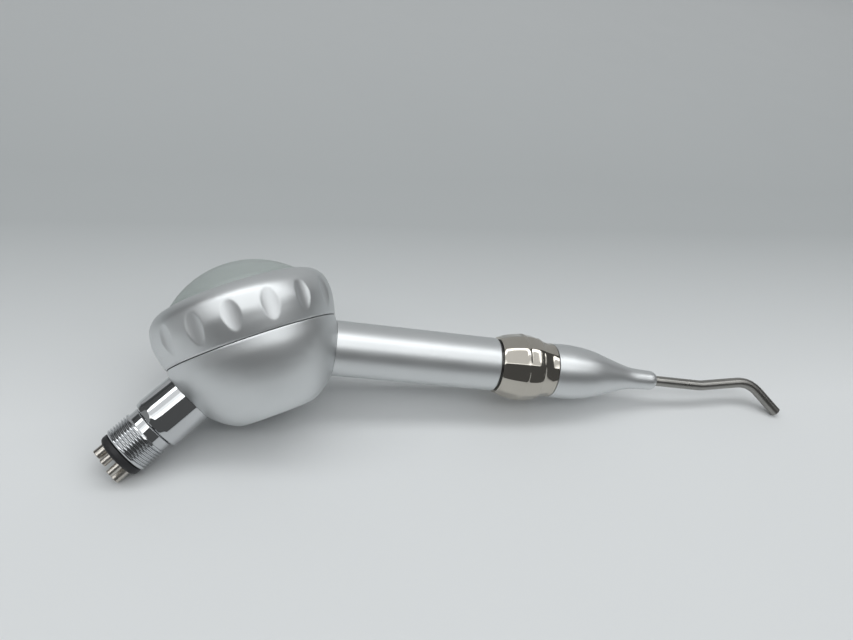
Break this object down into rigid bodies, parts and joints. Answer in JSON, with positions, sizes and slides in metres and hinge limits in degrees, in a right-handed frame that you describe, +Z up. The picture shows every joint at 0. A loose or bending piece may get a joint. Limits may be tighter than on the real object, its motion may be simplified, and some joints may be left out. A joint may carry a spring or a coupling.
{
  "type": "dental air polisher handpiece",
  "caption": "Dental air polisher handpiece: side powder bowl with a screw ring and frosted dome lid, hose connector, straight handle and bent nozzle.",
  "frame": {"origin": "under the centre of the bounding box, on the table that the handpiece lies on", "axes": "+X level along the handle towards the nozzle, +Z up from the table, +Y towards the lid side; the handpiece lies on its flank"},
  "size_m": [0.1826, 0.0502, 0.0433],
  "materials": {
    "satin_aluminium": "satin, fine bead-blasted and clear anodised",
    "frosted_lid": "frosted translucent",
    "chrome": "bright chrome plate",
    "nickel": "polished nickel, warm tint",
    "pin_steel": "drawn tube with faint rings",
    "nozzle_steel": "dull drawn stainless",
    "inner_steel": "turned",
    "white_plastic": "plain",
    "clear_silicone": "soft",
    "black_rubber": "matt"
  },
  "bodies": {
    "body": {"powder_bowl": "satin_aluminium", "powder_tube": "inner_steel", "air_inlet_tube": "inner_steel", "water_tube": "inner_steel", "handle_tube": "satin_aluminium", "handle_root_bush": "inner_steel", "handle_spacer": "white_plastic", "swivel_socket": "inner_steel", "coupling_sleeve": "chrome"},
    "lid": {"dome_lid": "frosted_lid", "lid_seal": "clear_silicone", "slip_washer": "white_plastic"},
    "ring": {"cap_ring": "satin_aluminium"},
    "swivel": {"swivel_core": "inner_steel", "swivel_clip": "inner_steel", "swivel_o_ring_rear": "black_rubber", "swivel_o_ring_front": "black_rubber"},
    "nozzle": {"nozzle_spigot": "inner_steel", "spigot_o_ring": "black_rubber", "head_o_ring": "black_rubber", "nozzle_head": "satin_aluminium", "nozzle_tube": "nozzle_steel", "powder_jet_tube": "nozzle_steel"},
    "nut": {"lock_nut": "nickel"},
    "connector": {"hose_connector": "chrome", "connector_gasket": "black_rubber", "connector_clip": "inner_steel", "connector_o_ring_rear": "black_rubber", "connector_o_ring_front": "black_rubber", "exhaust_tube": "pin_steel", "chip_air_tube": "pin_steel", "water_inlet_tube": "pin_steel", "drive_air_tube": "pin_steel"}
  },
  "joints": [
    {"name": "lid_unscrew", "type": "slide", "parent": "body", "child": "lid", "axis": [-0.3628, 0.6993, 0.6159], "range_m": [0, 0.008]},
    {"name": "ring_turn", "type": "hinge", "parent": "lid", "child": "ring", "pos_m": [-0.05746, 0.00257, 0.02022], "axis": [-0.3628, 0.6993, 0.6159], "range_deg": [0, 720]},
    {"name": "nozzle_swivel", "type": "hinge", "parent": "body", "child": "swivel", "pos_m": [0.00414, 0.0032, 0.01403], "axis": [0.9941, 0, -0.1082], "continuous": true},
    {"name": "nozzle_release", "type": "slide", "parent": "swivel", "child": "nozzle", "axis": [0.9941, 0, -0.1082], "range_m": [0, 0.006]},
    {"name": "nut_turn", "type": "hinge", "parent": "nozzle", "child": "nut", "pos_m": [0.00414, 0.0032, 0.01403], "axis": [0.9941, 0, -0.1082], "range_deg": [0, 2160]},
    {"name": "hose_connector_swivel", "type": "hinge", "parent": "body", "child": "connector", "pos_m": [-0.0787, -0.01405, 0.00884], "axis": [-0.7234, -0.5694, -0.3905], "continuous": true}
  ],
  "couplings": [
    {"joint": "ring_turn", "follows": "lid_unscrew", "rad_per_m": 1570},
    {"joint": "nut_turn", "follows": "nozzle_release", "rad_per_m": 6280}
  ]
}
